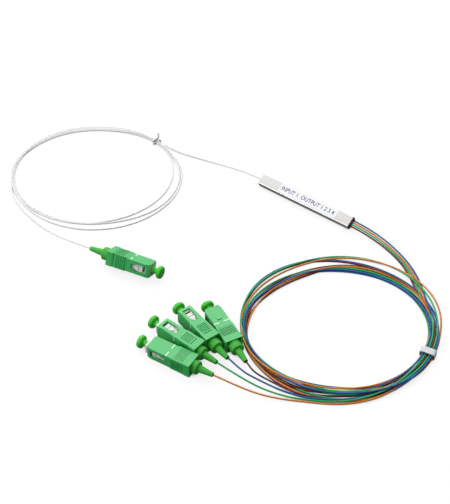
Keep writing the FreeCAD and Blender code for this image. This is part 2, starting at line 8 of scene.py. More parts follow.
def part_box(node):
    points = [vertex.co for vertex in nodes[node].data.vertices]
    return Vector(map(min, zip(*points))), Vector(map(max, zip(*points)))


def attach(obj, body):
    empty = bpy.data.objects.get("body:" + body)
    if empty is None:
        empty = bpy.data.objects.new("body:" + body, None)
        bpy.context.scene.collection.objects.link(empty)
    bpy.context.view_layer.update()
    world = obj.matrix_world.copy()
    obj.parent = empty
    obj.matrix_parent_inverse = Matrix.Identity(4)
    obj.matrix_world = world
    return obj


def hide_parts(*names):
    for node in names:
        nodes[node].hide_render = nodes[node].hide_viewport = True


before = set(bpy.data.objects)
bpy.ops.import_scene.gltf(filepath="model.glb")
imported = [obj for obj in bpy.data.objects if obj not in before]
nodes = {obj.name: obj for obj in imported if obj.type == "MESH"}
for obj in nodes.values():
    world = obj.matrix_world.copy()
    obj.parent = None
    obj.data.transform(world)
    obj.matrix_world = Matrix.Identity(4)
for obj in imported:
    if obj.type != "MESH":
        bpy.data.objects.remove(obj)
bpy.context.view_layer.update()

# One 1x4 fibre splitter: steel tube, white input cord, four coloured output cords, five push-pull
# connectors. Sizes in the dictionaries are in millimetres unless a note says otherwise.
mm = 0.001


# ---- camera

cameraView = {
    "place": (291.0, -462.7, 495.3),  # in front of the output connectors, looking down 44 degrees
    "aim": (-13.4, -57.0, 0.0),
    "lens": 94.26,  # for the sensor below, on the long side
    "sensor": 36.0,
    "clip": (0.05, 10.0),  # metres
}


def makeCamera(view):
    data = bpy.data.cameras.new("camera")
    data.lens = view["lens"]
    data.sensor_width = view["sensor"]
    data.clip_start, data.clip_end = view["clip"]
    camera = bpy.data.objects.new("camera", data)
    bpy.context.scene.collection.objects.link(camera)
    place, aim = Vector(view["place"]) * mm, Vector(view["aim"]) * mm
    camera.location = place
    camera.rotation_euler = (aim - place).to_track_quat("-Z", "Y").to_euler()
    bpy.context.scene.camera = camera
    return camera


camera = makeCamera(cameraView)
print("camera in place")


# ---- materials: helpers

def fromHex(text):
    # sRGB hex to the linear colour that a shader socket takes
    parts = [int(text[i:i + 2], 16) / 255 for i in (1, 3, 5)]
    return [c / 12.92 if c <= 0.04045 else ((c + 0.055) / 1.055) ** 2.4 for c in parts] + [1.0]


def addNode(tree, kind, settings=None, links=None):
    # adds one node, sets its properties or sockets by name, and links other sockets into it
    node = tree.nodes.new(kind)
    for name, value in (settings or {}).items():
        if isinstance(name, str) and hasattr(node, name):
            setattr(node, name, value)
        else:
            node.inputs[name].default_value = value
    for name, source in (links or {}).items():
        tree.links.new(source, node.inputs[name])
    return node


def newMaterial(name):
    material = bpy.data.materials.new(name)
    material.use_nodes = True
    tree = material.node_tree
    tree.nodes.clear()
    return material, tree


def dress(obj, material):
    # one material on every slot of a piece
    obj.data.materials.clear()
    obj.data.materials.append(material)
    if obj.type == "MESH":
        obj.data.polygons.foreach_set("material_index", [0] * len(obj.data.polygons))


# ---- where the module and the connectors lie, as in the frame

modulePlace = {"height": 3.094, "roll": 25.0, "halfLength": 30.0}

connectorPlaces = {
    "in": {"at": (-57.0, -99.9), "heading": 11.3, "roll": 156.4, "slid": 0.2},
    "out1": {"at": (24.9, -133.4), "heading": 185.6, "roll": 180.0, "slid": 1.4},
    "out2": {"at": (21.8, -124.7), "heading": 176.8, "roll": 90.0, "slid": 1.4},
    "out3": {"at": (23.5, -116.3), "heading": 163.5, "roll": 90.0, "slid": 0.0},
    "out4": {"at": (32.4, -110.4), "heading": 154.2, "roll": 0.0, "slid": 0.0},
}


def moduleMatrix():
    return (Matrix.Translation((0, 0, modulePlace["height"]))
            @ Matrix.Rotation(math.radians(modulePlace["roll"]), 4, "X"))


def connectorMatrix(name):
    # the connector's own axes in millimetres: x to the ferrule tip, y across its wide faces
    spot = connectorPlaces[name]
    heading = math.radians(spot["heading"])
    low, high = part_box(f"{name}_ferrule")
    height = (low.z + high.z) / 2 / mm
    x = spot["at"][0] + spot["slid"] * math.cos(heading)
    y = spot["at"][1] + spot["slid"] * math.sin(heading)
    return (Matrix.Translation((x, y, height)) @ Matrix.Rotation(heading, 4, "Z")
            @ Matrix.Rotation(math.radians(spot["roll"]), 4, "X"))


# ---- cords

cordBuild = {
    "diameter": 0.9,
    "drawn": 0.92,  # across its facets' corners
    "facets": 4,  # rounding steps in a quarter of its section
    "fineness": 8,  # steps between two points of its line
    "perTurn": 24,  # points of the line in each turn of a coil
    "floorRest": 0.46,  # height of a cord's middle where it lies on the floor
    "boot": (0.6, -20.4),  # the straight inside the boot, along the connector's axis
    "plug": (26.0, 35.5),  # the straight inside and outside the module's end plug
}

# How far each turn lies from the middle of its bundle, every 30 degrees along the cord's way
# round. The first turn starts a step after the heading where the cord comes in.
inputWinding = {
    "centre": (-109.8, -52.2), "radius": 44.9, "squash": 2.7, "squashHeading": 29.0,
    "entry": 60.0, "step": 30.0,
    "turns": {
        "input": [
            2.0, 1.5, 1.9, 0.9, 0.4, -0.5, 1.0, 2.2, 2.0, 1.5, 2.1, 1.6,
            1.1, 0.6, 0.9, 0.0, -0.4, -1.1, -1.4, -2.1, -2.4, -0.6, 0.8, 0.8,
            0.3, -0.3, -0.2, -0.8, -1.2, -2.0, -2.6, -2.8, -4.5, -5.2, -3.7, -0.9,
            -0.6, -1.2, -1.3, -1.5, 0.0,
        ],
    },
    "layOrder": [3, 2, 1, 0],
    "bridges": [],  # none: the incoming end crosses inside the tie
    "gather": {"heading": 78.0, "span": 34.0, "flat": 12.5, "outer": 1.25, "pitch": 0.62,
               "lift": 0.44, "layer": 0.75, "order": [0, 1]},
}

outputWinding = {
    "centre": (66.6, -65.8), "radius": 47.45, "squash": 1.6, "squashHeading": 50.0,
    "entry": 60.0, "step": -30.0,
    "turns": {
        "brown": [
            -0.6, -0.6, -0.8, -0.9, 0.9, 1.1, 1.8, 4.0, 3.4, 0.6, -1.2, -1.0,
            -0.8, -0.8, -3.3, -3.0, 0.5, -0.4, -0.9, -2.4, -3.2, -2.4, -2.7, -2.6,
            -1.8, -1.9, 0.4, -2.2, -1.2, -0.7, -1.5, -5.6, -6.6, -2.8, -3.3, -3.6,
            -3.4, -1.6, 1.0, 2.7,
        ],
        "blue": [
            1.5, 1.8, 1.9, 1.8, 1.8, 1.3, 2.1, 4.7, 4.5, 1.5, -0.3, 0.0,
            0.7, 1.1, 0.6, -1.6, -1.8, -0.9, 0.6, -3.6, -5.0, -6.2, -6.4, -5.1,
            -3.1, -3.0, -4.0, -6.6, -5.2, -0.6, 0.2, -3.0, -4.5, -6.6, -6.3, -5.3,
            -1.9, -0.5, 1.0, 2.2, 4.1,
        ],
        "green": [
            1.1, 0.7, 0.8, 1.3, -0.4, 1.0, 1.2, -0.3, -2.8, -4.6, -4.2, -5.3,
            -3.8, -2.6, -2.6, -3.2, -4.4, -1.1, 2.3, 3.6, 3.7, 5.0, 4.4, 1.9,
            0.0, 0.3, 0.0, -1.6, -2.8, -0.2, -0.4, -1.7, -4.2, -4.9, -4.6, -3.2,
            -1.5, -0.8, 1.0, 3.3,
        ],
        "orange": [
            -0.5, -0.3, 2.4, 2.5, 1.7, 1.4, -1.0, -5.3, -5.6, -4.2, -2.0, -1.8,
            -1.9, -3.7, -4.7, -5.1, -2.9, 1.1, 1.8, 1.9, 1.9, 3.7, 4.3, 4.5,
            1.9, 1.4, -1.6, -4.4, -2.6, 0.3, -2.3, -4.5, -5.2, -4.2, -3.0, -2.9,
            -2.3, 0.0, 2.5, 4.2,
        ],
    },
    # where a turn bridges the cords that come in under it: colour, turn, heading, height
    "bridges": [("green", 1, 68.0, 1.5), ("orange", 1, 75.0, 1.5)],
    "layOrder": [0, 3, 2, 1],
    # inside the tie the strands lie packed in layers: where the tie is, over how many degrees it
    # draws them in, where the outermost lies, and how far apart and how high they are
    "gather": {"heading": 12.5, "span": 36.0, "flat": 17.5, "outer": 1.1, "pitch": 0.36,
               "lift": 0.82, "layer": 0.82, "order": [0, 2, 1]},
}

# The free stretches: the points of each cord's route between its coil and its two ends.
inputRoutes = {
    "module": [(-47, -0.4, 2.1), (-59, -1.9, 0.9), (-71, -4.3, 0.5), (-83, -7.1, 0.5),
               (-95.5, -8.2, 1.5)],
    "connector": [(-92, -103.6, 2.4), (-104, -102.4, 0.8), (-115.5, -100.2, 0.5),
                  (-126, -97.4, 0.5), (-134.6, -93.4, 0.5), (-141.6, -87.6, 0.5)],
}

outputRoutes = {
    "blue": {
        "lane": 1.8,
        "module": [(48.5, 1.0, 2.5), (60.5, -1.7, 1.3), (72.4, -6.8, 0.7), (82.5, -14.2, 0.6),
                   (91.0, -23.0, 0.7)],
        "connector": [(54.7, -120.4, 2.4)],
        "boot": -22.0,
    },
    "orange": {
        "lane": 0.6,
        "module": [(48.0, -0.1, 2.1), (59.9, -2.7, 1.0), (71.4, -7.6, 0.7), (81.3, -14.9, 0.6),
                   (90.0, -23.6, 0.7)],
        "connector": [(57.5, -128.0, 2.0), (68.1, -123.5, 1.1), (78.3, -117.6, 0.6)],
    },
    "green": {
        "lane": -0.6,
        "module": [(47.5, -1.2, 1.8), (59.2, -3.7, 0.9), (70.4, -8.5, 0.7), (80.1, -15.6, 0.6),
                   (89.0, -24.2, 0.7)],
        "connector": [(55.5, -124.2, 2.2), (66.0, -121.4, 1.0), (76.0, -117.4, 0.6)],
    },
    "brown": {
        "lane": -1.8,
        "module": [(47.0, -2.3, 1.4), (58.5, -4.7, 0.8), (69.4, -9.4, 0.7), (78.9, -16.3, 0.6),
                   (88.0, -24.8, 0.7)],
        "connector": [(51.2, -118.2, 3.0), (58.0, -117.6, 2.3), (67.2, -116.6, 1.6),
                      (75.7, -114.9, 1.2)],
        "boot": -15.6,  # where the straight behind this boot ends
    },
}


def windingRadius(winding, heading):
    swing = math.cos(2 * math.radians(heading - winding["squashHeading"]))
    return winding["radius"] + winding["squash"] * swing


def betweenSteps(values, at):
    # smooth reading between the listed steps
    i = min(max(int(math.floor(at)), 0), len(values) - 2)
    t = at - i
    before, start = values[max(i - 1, 0)], values[i]
    end, after = values[i + 1], values[min(i + 2, len(values) - 1)]
    slopeStart, slopeEnd = (end - before) / 2, (after - start) / 2
    return (start * (2 * t ** 3 - 3 * t ** 2 + 1) + end * (3 * t ** 2 - 2 * t ** 3)
            + slopeStart * (t ** 3 - 2 * t ** 2 + t) + slopeEnd * (t ** 3 - t ** 2))


def restingHeight(laid, across):
    # lowest height where a strand lies on the floor or on the strands laid before it
    size = cordBuild["diameter"]
    heights = [cordBuild["floorRest"]]
    heights += [up + math.sqrt(size ** 2 - (across - there) ** 2)
                for there, up in laid if abs(across - there) < size]
    for height in sorted(heights):
        if all(math.hypot(across - there, height - up) > 0.97 * size for there, up in laid):
            return height
    return max(heights)


def gatherSlots(winding):
    # every pass of a cord through the tie, from the outermost to the innermost, and its slot there
    gather = winding["gather"]
    passes = []
    for name, values in winding["turns"].items():
        for turn in range(-6, 7):
            at = (gather["heading"] + 360 * turn - winding["entry"]) / winding["step"] - 1
            if 0 <= at <= len(values) - 1:
                passes.append((-betweenSteps(values, at), name, turn))
    slots = {}
    for rank, (_, name, turn) in enumerate(sorted(passes)):
        layer = gather["order"][rank % len(gather["order"])]
        up = cordBuild["floorRest"] + gather["lift"] + layer * gather["layer"]
        slots[name, turn] = (gather["outer"] - rank * gather["pitch"], up)
    return slots


def gatherPull(winding, heading):
    # how strongly the tie holds a strand at this heading, and on which of its passes
    gather = winding["gather"]
    turn = round((heading - gather["heading"]) / 360)
    away = abs(heading - gather["heading"] - 360 * turn)
    t = min(max((gather["span"] - away) / (gather["span"] - gather["flat"]), 0.0), 1.0)
    return t * t * (3 - 2 * t), turn


def bridgeHeight(winding, name, i, perTurn):
    # height that a turn keeps where it passes over the incoming cords, easing down to either side
    pointStep = math.copysign(360 / perTurn, winding["step"])
    heading = winding["entry"] + winding["step"] + i * pointStep
    lowest = 0.0
    for colour, turn, middle, height in winding["bridges"]:
        away = abs(heading - middle - 360 * math.copysign(turn + 1, winding["step"]))
        if colour == name and away < 30:
            lowest = max(lowest, cordBuild["floorRest"] + (height - cordBuild["floorRest"])
                         * min(1.0, 0.5 + 0.5 * math.cos(math.pi * max(away - 8, 0) / 22)))
    return lowest


def layTurns(winding):
    # the points of every cord in this coil, each turn resting on the ones laid before it
    perTurn = cordBuild["perTurn"]
    stepsPerPoint = 360 / perTurn / abs(winding["step"])
    slots = gatherSlots(winding) if winding["gather"] else {}
    across, heights, held = {}, {}, {}
    for name, values in winding["turns"].items():
        count = int(round((len(values) - 1) / stepsPerPoint)) + 1
        across[name] = [betweenSteps(values, i * stepsPerPoint) for i in range(count)]
        heights[name] = [0.0] * count
        held[name] = [(0.0, 0.0)] * count
        for i in range(count if slots else 0):
            heading = winding["entry"] + winding["step"] * (1 + i * stepsPerPoint)
            pull, turn = gatherPull(winding, heading)
            if pull and (name, turn) in slots:
                slot, up = slots[name, turn]
                across[name][i] += pull * (slot - across[name][i])
                held[name][i] = (pull, up)
    laid = {}
    for turn in winding["layOrder"]:
        for name, values in across.items():
            for i in range(turn * perTurn, min((turn + 1) * perTurn, len(values))):
                strands = laid.setdefault(i % perTurn, [])
                pull, up = held[name][i]
                heights[name][i] = restingHeight(strands, values[i]) * (1 - pull) + up * pull
                heights[name][i] = max(heights[name][i], bridgeHeight(winding, name, i, perTurn))
                strands.append((values[i], heights[name][i]))
    points = {}
    for name, values in across.items():
        ups = heights[name]
        for _ in range(2):
            ups = [(ups[max(i - 1, 0)] + 2 * up + ups[min(i + 1, len(ups) - 1)]) / 4
                   for i, up in enumerate(ups)]
        ups = [smooth * (1 - pull) + up * pull for smooth, (pull, up) in zip(ups, held[name])]
        spread = 1 / math.cos(math.pi / perTurn)  # the line runs inside its control points
        line = []
        for i, off in enumerate(values):
            heading = winding["entry"] + winding["step"] * (1 + i * stepsPerPoint)
            radius = (windingRadius(winding, heading) + off) * spread
            angle = math.radians(heading)
            line.append((winding["centre"][0] + radius * math.cos(angle),
                         winding["centre"][1] + radius * math.sin(angle), ups[i]))
        points[name] = line
    return points


def cordLine(moduleSide, lane, routes, turns, connector):
    # the whole way: end plug, free stretch, coil, free stretch, boot
    inModule = [moduleMatrix() @ Vector((moduleSide * x, lane, 0)) for x in cordBuild["plug"]]
    place = connectorMatrix(connector)
    ends = (cordBuild["boot"][0], routes.get("boot", cordBuild["boot"][1]))
    inBoot = [place @ Vector((x, 0, 0)) for x in reversed(ends)]
    return (inModule + [Vector(p) for p in routes["module"]] + [Vector(p) for p in turns]
            + [Vector(p) for p in reversed(routes["connector"])] + inBoot)


def makeCord(name, line, material):
    data = bpy.data.curves.new(name, "CURVE")
    data.dimensions = "3D"
    data.bevel_depth = cordBuild["drawn"] / 2 * mm
    data.bevel_resolution = cordBuild["facets"]
    data.use_fill_caps = True
    data.resolution_u = cordBuild["fineness"]
    spline = data.splines.new("NURBS")
    spline.points.add(len(line) - 1)
    for point, at in zip(spline.points, line):
        point.co = (at[0] * mm, at[1] * mm, at[2] * mm, 1.0)
    spline.order_u = 3
    spline.use_endpoint_u = True
    spline.use_smooth = True
    cord = bpy.data.objects.new(name, data)
    bpy.context.scene.collection.objects.link(cord)
    data.materials.append(material)
    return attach(cord, "splitter")


# Tight-buffered 0.9 mm cord, extruded soft PVC over the fibre: an even, slightly waxy gloss with a
# faint drift of tone along it. The white one lets some light through, and a weak painted glow of
# its own keeps its shaded side pale.
jacketLook = {"drift": 60.0, "glossSpread": 0.1, "ior": 1.5, "specular": 0.35, "through": 0.0008}
jacketColours = {
    "input": {"hex": "#D0D1D0", "shade": "#CACBCA", "gloss": 0.42, "soft": 0.8, "paintedGlow": 0.1},
    "blue": {"hex": "#0F64A8", "shade": "#084084", "gloss": 0.3},
    "orange": {"hex": "#DA862E", "shade": "#BE6818", "gloss": 0.3},
    "green": {"hex": "#14B066", "shade": "#08904C", "gloss": 0.3},
    "brown": {"hex": "#661206", "shade": "#3E0A04", "gloss": 0.3},
}


def extrudedPvc(name, colours):
    material, tree = newMaterial(name)
    where = addNode(tree, "ShaderNodeTexCoord")
    drift = addNode(tree, "ShaderNodeTexNoise", {"Scale": jacketLook["drift"], "Detail": 1.0},
                    {"Vector": where.outputs["Object"]})
    tone = addNode(tree, "ShaderNodeMix", {"data_type": "RGBA", 6: fromHex(colours["shade"]),
                                           7: fromHex(colours["hex"])}, {0: drift.outputs["Fac"]})
    gloss = addNode(tree, "ShaderNodeMapRange",
                    {"From Min": 0.3, "From Max": 0.7, "To Min": colours["gloss"],
                     "To Max": colours["gloss"] + jacketLook["glossSpread"]},
                    {"Value": drift.outputs["Fac"]})
    shader = addNode(tree, "ShaderNodeBsdfPrincipled",
                     {"IOR": jacketLook["ior"], "Specular IOR Level": jacketLook["specular"],
                      "Subsurface Weight": colours.get("soft", 0.0),
                      "Subsurface Radius": (1.0, 1.0, 1.0),
                      "Subsurface Scale": jacketLook["through"],
                      "Emission Color": (1.0, 1.0, 1.0, 1.0),
                      # painted light: the white cord glows a little, though it is no lamp
                      "Emission Strength": colours.get("paintedGlow", 0.0)},
                     {"Base Color": tone.outputs[2], "Roughness": gloss.outputs["Result"]})
    addNode(tree, "ShaderNodeOutputMaterial", {}, {"Surface": shader.outputs[0]})
    return material


# ---- housings: glass-filled PBT, injection moulded, so a satin skin with a fine spark-eroded
# texture; a lighter witness bar is pad-printed on each wide face, and painted shade darkens the
# grip lines

housingLook = {
    "hex": "#2AB056", "shade": "#24A64E",
    # painted shade: the dark green that the grip lines are darkened towards, as in the hollow of a
    # groove
    "groove": "#0E6A30",
    "bar": "#BFE4C8", "barAt": 13.7, "barHalf": 0.32, "barFrom": 2.8, "barReach": 1.5,
    "hatchPitch": 0.9,  # lengthwise grip lines, and how dark they look on each connector
    "gripDark": {"in": 0.2, "out1": 0.03, "out2": 0.03, "out3": 0.03, "out4": 0.35},
    "faceHatch": (7.3, 3.6, 3.9),  # middle, half length and half width of the grip on a wide face
    "sideHatch": (7.7, 2.75, 2.75),
    "faceAt": 3.45, "sideAt": 4.25,  # where the wide and the narrow faces begin, from the axis
    "lineHalf": 0.2,  # half width of a grip line, as a share of the pitch
    "lineDeep": 17.0,  # how deep a fully dark line looks beside the skin's own texture
    "driftPitch": 0.25, "skinPitch": 6.0,  # waves in a millimetre
    "rough": (0.36, 0.46), "ior": 1.5, "specular": 0.8,
}


def connectorAxes(tree, name, slid=0.0):
    # coordinates in millimetres along the connector's own axes
    matrix = connectorMatrix(name) @ Matrix.Translation((-slid, 0, 0))
    turn = matrix.to_euler("XYZ")
    where = addNode(tree, "ShaderNodeTexCoord")
    own = addNode(tree, "ShaderNodeMapping",
                  {"vector_type": "TEXTURE", "Location": matrix.translation * mm,
                   "Rotation": tuple(turn), "Scale": (mm, mm, mm)},
                  {"Vector": where.outputs["Object"]})
    return own, addNode(tree, "ShaderNodeSeparateXYZ", {}, {"Vector": own.outputs[0]})


def mouldedPbtGreen(name):
    look = housingLook
    material, tree = newMaterial(f"mouldedPbtGreen_{name}")
    own, axes = connectorAxes(tree, name, connectorPlaces[name]["slid"])
    y = addNode(tree, "ShaderNodeMath", {"operation": "ABSOLUTE"}, {0: axes.outputs["Y"]})
    z = addNode(tree, "ShaderNodeMath", {"operation": "ABSOLUTE"}, {0: axes.outputs["Z"]})
    onFace = addNode(tree, "ShaderNodeMath", {"operation": "GREATER_THAN", 1: look["faceAt"]},
                     {0: z.outputs[0]})
    onSide = addNode(tree, "ShaderNodeMath", {"operation": "GREATER_THAN", 1: look["sideAt"]},
                     {0: y.outputs[0]})
    # the two printed bars
    barX = addNode(tree, "ShaderNodeMath", {"operation": "COMPARE", 1: look["barAt"],
                                            2: look["barHalf"]}, {0: axes.outputs["X"]})
    barY = addNode(tree, "ShaderNodeMath", {"operation": "COMPARE", 1: look["barFrom"],
                                            2: look["barReach"]}, {0: y.outputs[0]})
    bars = addNode(tree, "ShaderNodeMath", {"operation": "MULTIPLY"},
                   {0: barX.outputs[0], 1: barY.outputs[0]})
    bars = addNode(tree, "ShaderNodeMath", {"operation": "MULTIPLY"},
                   {0: bars.outputs[0], 1: onFace.outputs[0]})
    # lengthwise lines of the grip, on the wide faces and on the narrow ones
    lines = []
    for face, across, block in ((onFace, y, look["faceHatch"]), (onSide, z, look["sideHatch"])):
        if face is onSide and name == "in":
            continue
        step = addNode(tree, "ShaderNodeMath", {"operation": "DIVIDE", 1: look["hatchPitch"]},
                       {0: across.outputs[0]})
        part = addNode(tree, "ShaderNodeMath", {"operation": "FRACT"}, {0: step.outputs[0]})
        line = addNode(tree, "ShaderNodeMath",
                       {"operation": "COMPARE", 1: 0.5, 2: look["lineHalf"]}, {0: part.outputs[0]})
        along = addNode(tree, "ShaderNodeMath", {"operation": "COMPARE", 1: block[0], 2: block[1]},
                        {0: axes.outputs["X"]})
        within = addNode(tree, "ShaderNodeMath", {"operation": "LESS_THAN", 1: block[2]},
                         {0: across.outputs[0]})
        for other in (along, within, face):
            line = addNode(tree, "ShaderNodeMath", {"operation": "MULTIPLY"},
                           {0: line.outputs[0], 1: other.outputs[0]})
        lines.append(line)
    grip = lines[0]
    if len(lines) > 1:
        grip = addNode(tree, "ShaderNodeMath", {"operation": "MAXIMUM"},
                       {0: lines[0].outputs[0], 1: lines[1].outputs[0]})
    drift = addNode(tree, "ShaderNodeTexNoise", {"Scale": look["driftPitch"], "Detail": 2.0},
                    {"Vector": own.outputs[0]})
    tone = addNode(tree, "ShaderNodeMix", {"data_type": "RGBA", 6: fromHex(look["shade"]),
                                           7: fromHex(look["hex"])}, {0: drift.outputs["Fac"]})
    # painted shade in the grip lines, stronger on some connectors than on others
    soft = addNode(tree, "ShaderNodeMath", {"operation": "MULTIPLY", 1: look["gripDark"][name]},
                   {0: grip.outputs[0]})
    grooveShaded = addNode(tree, "ShaderNodeMix", {"data_type": "RGBA", 7: fromHex(look["groove"])},
                  {0: soft.outputs[0], 6: tone.outputs[2]})
    colour = addNode(tree, "ShaderNodeMix", {"data_type": "RGBA", 7: fromHex(look["bar"])},
                     {0: bars.outputs[0], 6: grooveShaded.outputs[2]})
    skin = addNode(tree, "ShaderNodeTexNoise", {"Scale": look["skinPitch"], "Detail": 2.0},
                   {"Vector": own.outputs[0]})
    depth = look["lineDeep"] * look["gripDark"][name]
    deep = addNode(tree, "ShaderNodeMath", {"operation": "MULTIPLY_ADD", 1: -depth},
                   {0: grip.outputs[0], 2: skin.outputs["Fac"]})
    bump = addNode(tree, "ShaderNodeBump", {"Strength": 0.35, "Distance": 0.00003},
                   {"Height": deep.outputs[0]})
    gloss = addNode(tree, "ShaderNodeMapRange",
                    {"From Min": 0.3, "From Max": 0.7, "To Min": look["rough"][0],
                     "To Max": look["rough"][1]}, {"Value": drift.outputs["Fac"]})
    shader = addNode(tree, "ShaderNodeBsdfPrincipled",
                     {"IOR": look["ior"], "Specular IOR Level": look["specular"]},
                     {"Base Color": colour.outputs[2], "Roughness": gloss.outputs["Result"],
                      "Normal": bump.outputs[0]})
    addNode(tree, "ShaderNodeOutputMaterial", {}, {"Surface": shader.outputs[0]})
    return material


# ---- plainer finishes: each has two tones that drift into each other, and a fine relief
# "grain" is the size of the relief in millimetres, "stretch" how far it is drawn out along x

finishes = {
    # white PBT of the plug frames, satin like the housings
    "mouldedPbtWhite": {"tones": ("#D0D3CE", "#DCDED9"), "rough": (0.34, 0.44), "ior": 1.55,
                        "grain": 0.3, "relief": 0.1},
    # the boots' soft thermoplastic rubber: dull, a little chalky on the crests
    "softRubberGreen": {"tones": ("#309E2C", "#3AAA34"), "rough": (0.5, 0.6), "ior": 1.5,
                        "grain": 0.25, "relief": 0.1, "specular": 0.35},
    # low-density polyethylene of the dust caps: saturated and waxy bright
    "waxyPolyethylene": {"tones": ("#2EB41E", "#3ABE28"), "rough": (0.28, 0.36), "ior": 1.51,
                         "grain": 0.6, "relief": 0.05, "specular": 0.4},
    # zirconia ferrule, ground and polished: hard white gloss
    "polishedZirconia": {"tones": ("#F0EEE6", "#F8F7F2"), "rough": (0.06, 0.1), "ior": 2.1,
                         "grain": 0.1, "relief": 0.02},
    # nickel-plated brass, turned: bright with a warm cast and fine turning marks
    "nickelledBrass": {"tones": ("#B9B4A6", "#CBC7BC"), "rough": (0.2, 0.3), "metal": True,
                       "grain": 0.08, "relief": 0.15, "stretch": 0.1},
    # spring steel wire, drawn
    "springWire": {"tones": ("#A3A5A6", "#B8BABB"), "rough": (0.22, 0.3), "metal": True,
                   "grain": 0.06, "relief": 0.1, "stretch": 5.0},
    # drawn stainless tube: bright, with faint lines along its length
    "drawnStainless": {"tones": ("#C6C5C2", "#CECDCA"), "rough": (0.2, 0.24), "metal": True,
                       "grain": 0.9, "relief": 0.01, "stretch": 30.0},
    # clear silicone sealing the input end, clouded by the filler
    "cloudySilicone": {"tones": ("#DADCD8", "#E8E9E5"), "rough": (0.3, 0.4), "ior": 1.41,
                       "grain": 0.5, "relief": 0.1},
    # black epoxy cast round the output cords: a flat meniscus, slightly glossy
    "castEpoxyBlack": {"tones": ("#0A0A0B", "#151516"), "rough": (0.3, 0.45), "ior": 1.55,
                       "grain": 0.6, "relief": 0.3},
    # silicone gel bedding the chip
    "beddingGel": {"tones": ("#D6DAD8", "#E3E6E4"), "rough": (0.12, 0.2), "ior": 1.41,
                   "grain": 1.0, "relief": 0.1, "clear": 0.35},
    # fused silica chip, lid and fibre arrays: diced and polished
    "fusedSilica": {"tones": ("#DDE6EA", "#EAF0F3"), "rough": (0.04, 0.08), "ior": 1.46,
                    "grain": 0.4, "relief": 0.03, "clear": 0.6},
    # bare fibre in its natural acrylate coating
    "acrylateFibre": {"tones": ("#E6E2D2", "#F0EDE0"), "rough": (0.12, 0.2), "ior": 1.5,
                      "grain": 0.3, "relief": 0.02, "clear": 0.25},
    # soft white PVC ties, with a faint glaze
    "softPvcWhite": {"tones": ("#BABBC0", "#C6C7CB"), "rough": (0.32, 0.4), "ior": 1.52,
                     "grain": 0.9, "relief": 0.03},
    # the small tie: a paler copy of the ties' PVC, painted light standing in for light through its
    # thin band and against the shade it lies in
    "softPvcPale": {"tones": ("#D6D8D4", "#DFE1DC"), "rough": (0.35, 0.45), "ior": 1.52,
                    "grain": 0.6, "relief": 0.05},
    # standing end of the small tie, a thin grey strip
    "softPvcGrey": {"tones": ("#BDBEC4", "#CBCCD1"), "rough": (0.35, 0.45), "ior": 1.52,
                    "grain": 0.6, "relief": 0.2},
    # polyester label stock: a cool white with a soft sheen
    "labelPolyester": {"tones": ("#E0E1E9", "#E8E8EF"), "rough": (0.45, 0.55), "ior": 1.55,
                       "grain": 0.5, "relief": 0.05},
    # thermal-transfer print on it
    "printedInk": {"tones": ("#3E3F45", "#55565C"), "rough": (0.5, 0.6), "ior": 1.5,
                   "grain": 0.12, "relief": 0.05},
}
finished = {}


def finish(name):
    if name in finished:
        return finished[name]
    look = finishes[name]
    material, tree = newMaterial(name)
    where = addNode(tree, "ShaderNodeTexCoord")
    own = addNode(tree, "ShaderNodeMapping",
                  {"vector_type": "TEXTURE", "Scale": (mm * look.get("stretch", 1.0), mm, mm)},
                  {"Vector": where.outputs["Object"]})
    drift = addNode(tree, "ShaderNodeTexNoise", {"Scale": 0.2, "Detail": 2.0},
                    {"Vector": own.outputs[0]})
    grain = addNode(tree, "ShaderNodeTexNoise", {"Scale": 1 / look["grain"], "Detail": 3.0},
                    {"Vector": own.outputs[0]})
    tone = addNode(tree, "ShaderNodeMix", {"data_type": "RGBA", 6: fromHex(look["tones"][0]),
                                           7: fromHex(look["tones"][1])}, {0: drift.outputs["Fac"]})
    gloss = addNode(tree, "ShaderNodeMapRange",
                    {"From Min": 0.3, "From Max": 0.7, "To Min": look["rough"][0],
                     "To Max": look["rough"][1]}, {"Value": grain.outputs["Fac"]})
    bump = addNode(tree, "ShaderNodeBump", {"Strength": look["relief"], "Distance": 0.00004},
                   {"Height": grain.outputs["Fac"]})
    settings = {"Coat Weight": look.get("coat", 0.0), "Coat Roughness": 0.15,
                "Transmission Weight": look.get("clear", 0.0),
                "Specular IOR Level": look.get("specular", 0.5)}
    if look.get("metal"):
        settings["Metallic"] = 1.0
    else:
        settings["IOR"] = look["ior"]
    shader = addNode(tree, "ShaderNodeBsdfPrincipled", settings,
                     {"Base Color": tone.outputs[2], "Roughness": gloss.outputs["Result"],
                      "Normal": bump.outputs[0]})
    addNode(tree, "ShaderNodeOutputMaterial", {}, {"Surface": shader.outputs[0]})
    finished[name] = material
    return material


moduleFinishes = {
    "steel_tube": "drawnStainless", "input_end_plug": "cloudySilicone",
    "output_end_plug": "castEpoxyBlack", "chip_bed": "beddingGel", "splitter_chip": "fusedSilica",
    "chip_lid": "fusedSilica", "input_fibre_array": "fusedSilica",
    "output_fibre_array": "fusedSilica", "input_bare_fibre": "acrylateFibre",
    "output_bare_fibres": "acrylateFibre",
}
connectorFinishes = {
    "frame": "mouldedPbtWhite", "ferrule": "polishedZirconia", "ferrule_flange": "nickelledBrass",
    "spring": "springWire", "stop_ring": "nickelledBrass",
}


def dressFrame():
    for node, look in moduleFinishes.items():
        dress(nodes[node], finish(look))
    for name in connectorPlaces:
        dress(nodes[f"{name}_housing"], mouldedPbtGreen(name))
        for part, look in connectorFinishes.items():
            dress(nodes[f"{name}_{part}"], finish(look))


dressFrame()
print("carried-over pieces dressed")


# ---- boots and dust caps, turned about the connector's axis

bootBuild = {
    # x along the connector and radius of each corner, and how far it is rounded
    "outline": [(2.0, 2.05, 0.0), (2.0, 3.5, 0.0), (-4.4, 3.5, 0.75), (-4.4, 1.95, 0.35),
                (-12.4, 1.2, 0.15), (-12.4, 0.92, 0.08), (-10.6, 0.72, 0.0), (-8.0, 0.72, 0.0)],
    "steps": 48,
}

